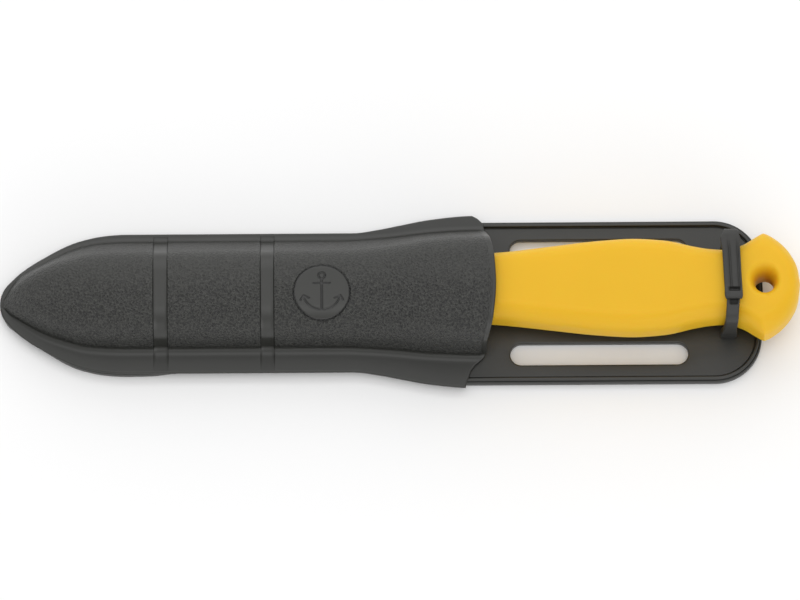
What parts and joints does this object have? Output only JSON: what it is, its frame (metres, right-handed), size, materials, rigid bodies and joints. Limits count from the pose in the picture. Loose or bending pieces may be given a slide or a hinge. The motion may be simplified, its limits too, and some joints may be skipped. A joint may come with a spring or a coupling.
{
  "type": "rigging knife",
  "caption": "Sailor's fixed-blade rigging knife with a fishtail yellow handle, held in a moulded belt sheath with two belt slots and a rubber retaining strap.",
  "frame": {"origin": "middle of the whole object's length and width, on the flat back face of the sheath", "axes": "+X along the knife from the sheath's tip to the pommel, the way the knife is drawn; +Z out of the sheath's front"},
  "size_m": [0.245, 0.0553, 0.027],
  "materials": {
    "sheath_plastic": "fine moulded grain, black",
    "liner_plastic": "smooth moulded, black",
    "strap_rubber": "smooth black rubber",
    "blade_steel": "brushed along the blade",
    "pin_steel": "turned",
    "core_plastic": "smooth moulded",
    "grip_plastic": "smooth satin, yellow"
  },
  "bodies": {
    "sheath": {"back_plate": "sheath_plastic", "front_shell": "sheath_plastic", "blade_liner": "liner_plastic", "strap_riser": "strap_rubber", "hook_tab": "strap_rubber"},
    "knife": {"blade": "blade_steel", "tang_pins": "pin_steel", "handle_core": "core_plastic", "handle_grip": "grip_plastic"},
    "strap": {"strap_tongue": "strap_rubber"}
  },
  "joints": [
    {"name": "knife_draw", "type": "slide", "parent": "sheath", "child": "knife", "axis": [1, 0, 0], "range_m": [0, 0.145], "deforming": ["strap_riser", "hook_tab"]},
    {"name": "strap_open", "type": "hinge", "parent": "sheath", "child": "strap", "pos_m": [0.1016, 0.016, 0.0234], "axis": [-1, 0, 0], "range_deg": [0, 110]}
  ]
}
